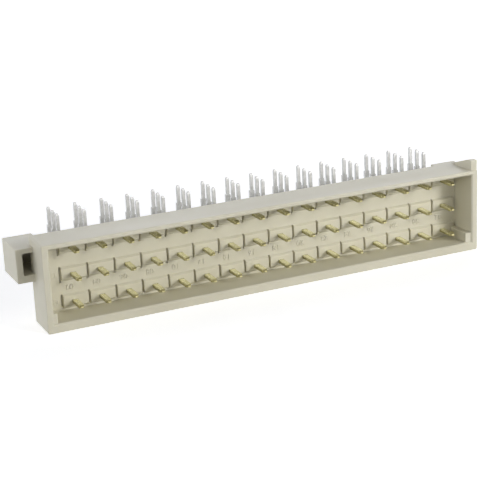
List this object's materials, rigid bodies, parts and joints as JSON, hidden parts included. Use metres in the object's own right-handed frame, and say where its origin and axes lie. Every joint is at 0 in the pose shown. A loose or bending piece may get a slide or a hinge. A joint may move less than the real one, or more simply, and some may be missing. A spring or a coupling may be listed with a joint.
{
  "type": "right-angle board connector",
  "caption": "Male board connector with a long open shroud, rows of flat contacts, right-angled solder tails and a flange with a pocket at each end.",
  "frame": {"origin": "middle of the bounding box in X and Y, on the long outer face that the connector lies on", "axes": "+X along the contact rows towards the highest contact number, +Y from the open mating side to the solder tails, +Z towards the board the tails go into"},
  "size_m": [0.094, 0.0178, 0.018],
  "materials": {
    "housing": "satin moulded, glass-filled, pebble grey",
    "contact": "gold-plated blade, tinned tail"
  },
  "bodies": {
    "root": {"housing": "housing", "contact_upper_2": "contact", "contact_upper_4": "contact", "contact_upper_6": "contact", "contact_upper_8": "contact", "contact_upper_10": "contact", "contact_upper_12": "contact", "contact_upper_14": "contact", "contact_upper_16": "contact", "contact_upper_18": "contact", "contact_upper_20": "contact", "contact_upper_22": "contact", "contact_upper_24": "contact", "contact_upper_26": "contact", "contact_upper_28": "contact", "contact_upper_30": "contact", "contact_upper_32": "contact", "contact_middle_2": "contact", "contact_middle_4": "contact", "contact_middle_6": "contact", "contact_middle_8": "contact", "contact_middle_10": "contact", "contact_middle_12": "contact", "contact_middle_14": "contact", "contact_middle_16": "contact", "contact_middle_18": "contact", "contact_middle_20": "contact", "contact_middle_22": "contact", "contact_middle_24": "contact", "contact_middle_26": "contact", "contact_middle_28": "contact", "contact_middle_30": "contact", "contact_middle_32": "contact", "contact_lower_2": "contact", "contact_lower_4": "contact", "contact_lower_6": "contact", "contact_lower_8": "contact", "contact_lower_10": "contact", "contact_lower_12": "contact", "contact_lower_14": "contact", "contact_lower_16": "contact", "contact_lower_18": "contact", "contact_lower_20": "contact", "contact_lower_22": "contact", "contact_lower_24": "contact", "contact_lower_26": "contact", "contact_lower_28": "contact", "contact_lower_30": "contact", "contact_lower_32": "contact"}
  },
  "joints": []
}
